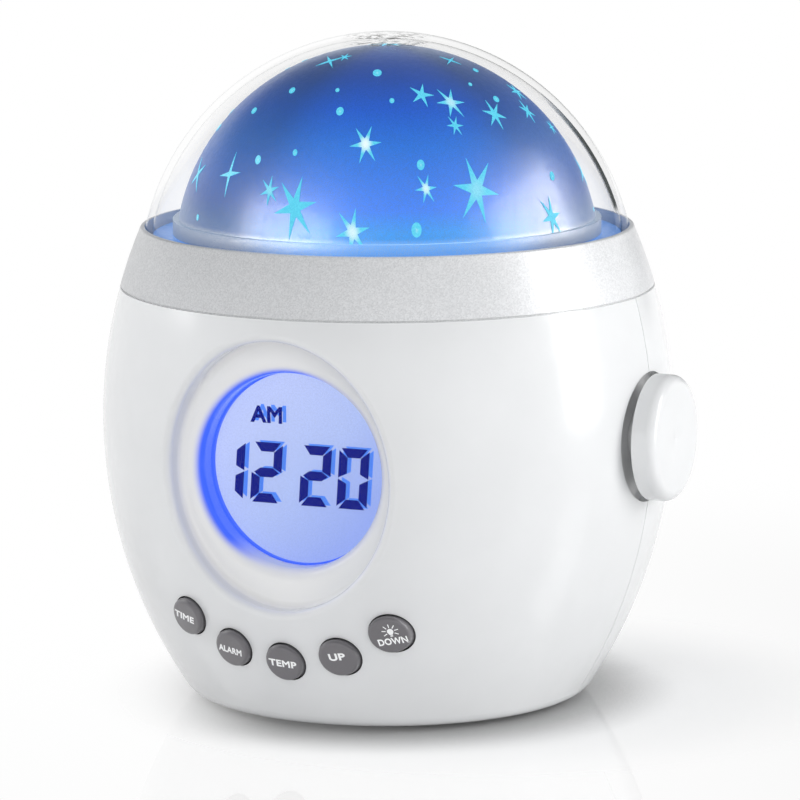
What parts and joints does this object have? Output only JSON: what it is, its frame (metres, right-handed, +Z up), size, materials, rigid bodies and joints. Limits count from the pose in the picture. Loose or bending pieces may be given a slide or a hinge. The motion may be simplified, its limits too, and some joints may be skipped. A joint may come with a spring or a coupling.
{
  "type": "night light",
  "caption": "Egg-shaped star night light: white two-half housing with a round clock display, an arc of buttons and a side dimmer knob, under a blue star dome with a clear cover",
  "frame": {"origin": "on the floor plane below the middle of the base, at the centre of the foot ring", "axes": "+Z up, the display faces -Y, the dimmer knob stands out along +X"},
  "size_m": [0.115, 0.1072, 0.1283],
  "materials": {
    "white_gloss": "glossy white moulded plastic",
    "white_matte": "matt white moulded plastic",
    "silver_paint": "satin silver paint with fine flakes on plastic",
    "clear_plastic": "clear polished plastic",
    "star_blue": "blue metallic paint on a clear dome, with stars left bare",
    "lamp_epoxy": "clear epoxy",
    "display_glass": "polished glass",
    "display_light": "lit pale blue diffuser",
    "button_grey": "satin dark grey plastic",
    "grey_rubber": "matt rubber",
    "board_green": "solder mask on laminate",
    "black_resin": "matt resin",
    "zinc_steel": "zinc-plated steel",
    "dimmer_metal": "plated can",
    "speaker_metal": "dark plated steel",
    "black_paper": "pressed paper",
    "cell_jacket": "printed film over steel, left plain",
    "nickel_strip": "nickel-plated spring strip"
  },
  "bodies": {
    "housing": {"front_shell": "white_gloss", "rear_shell": "white_gloss", "base_plate": "white_matte", "foot_ring": "grey_rubber", "collar_ring": "silver_paint", "clear_dome": "clear_plastic", "star_dome": "star_blue", "lamp_deck": "white_matte", "led_board": "board_green", "led_lamps": "lamp_epoxy", "deck_screws": "zinc_steel", "display_window": "clear_plastic", "lcd_panel": "display_glass", "backlight": "display_light", "lcd_frame": "white_matte", "main_board": "board_green", "board_screws": "zinc_steel", "clock_chip": "black_resin", "temperature_sensor": "black_resin", "rubber_keypad": "grey_rubber", "dimmer_can": "dimmer_metal", "dimmer_board": "board_green", "speaker_basket": "speaker_metal", "speaker_cone": "black_paper", "housing_screws": "zinc_steel", "battery_cells": "cell_jacket", "battery_contacts": "nickel_strip"},
    "time_key": {"time_button": "button_grey"},
    "alarm_key": {"alarm_button": "button_grey"},
    "temperature_key": {"temperature_button": "button_grey"},
    "up_key": {"up_button": "button_grey"},
    "down_key": {"down_button": "button_grey"},
    "knob": {"control_knob": "white_gloss", "dimmer_shaft": "zinc_steel"},
    "door": {"battery_door": "white_matte", "door_screws": "zinc_steel"}
  },
  "joints": [
    {"name": "time_press", "type": "slide", "parent": "housing", "child": "time_key", "axis": [0, 1, 0], "range_m": [0, 0.001], "stiffness_N_per_m": 1000},
    {"name": "alarm_press", "type": "slide", "parent": "housing", "child": "alarm_key", "axis": [0, 1, 0], "range_m": [0, 0.001], "stiffness_N_per_m": 1000},
    {"name": "temperature_press", "type": "slide", "parent": "housing", "child": "temperature_key", "axis": [0, 1, 0], "range_m": [0, 0.001], "stiffness_N_per_m": 1000},
    {"name": "up_press", "type": "slide", "parent": "housing", "child": "up_key", "axis": [0, 1, 0], "range_m": [0, 0.001], "stiffness_N_per_m": 1000},
    {"name": "down_press", "type": "slide", "parent": "housing", "child": "down_key", "axis": [0, 1, 0], "range_m": [0, 0.001], "stiffness_N_per_m": 1000},
    {"name": "knob_turn", "type": "hinge", "parent": "housing", "child": "knob", "pos_m": [0.0554, 0, 0.05348], "axis": [1, 0, 0], "range_deg": [-150, 150]},
    {"name": "door_lift_off", "type": "slide", "parent": "housing", "child": "door", "axis": [0, 0, -1], "range_m": [0, 0.012]}
  ]
}
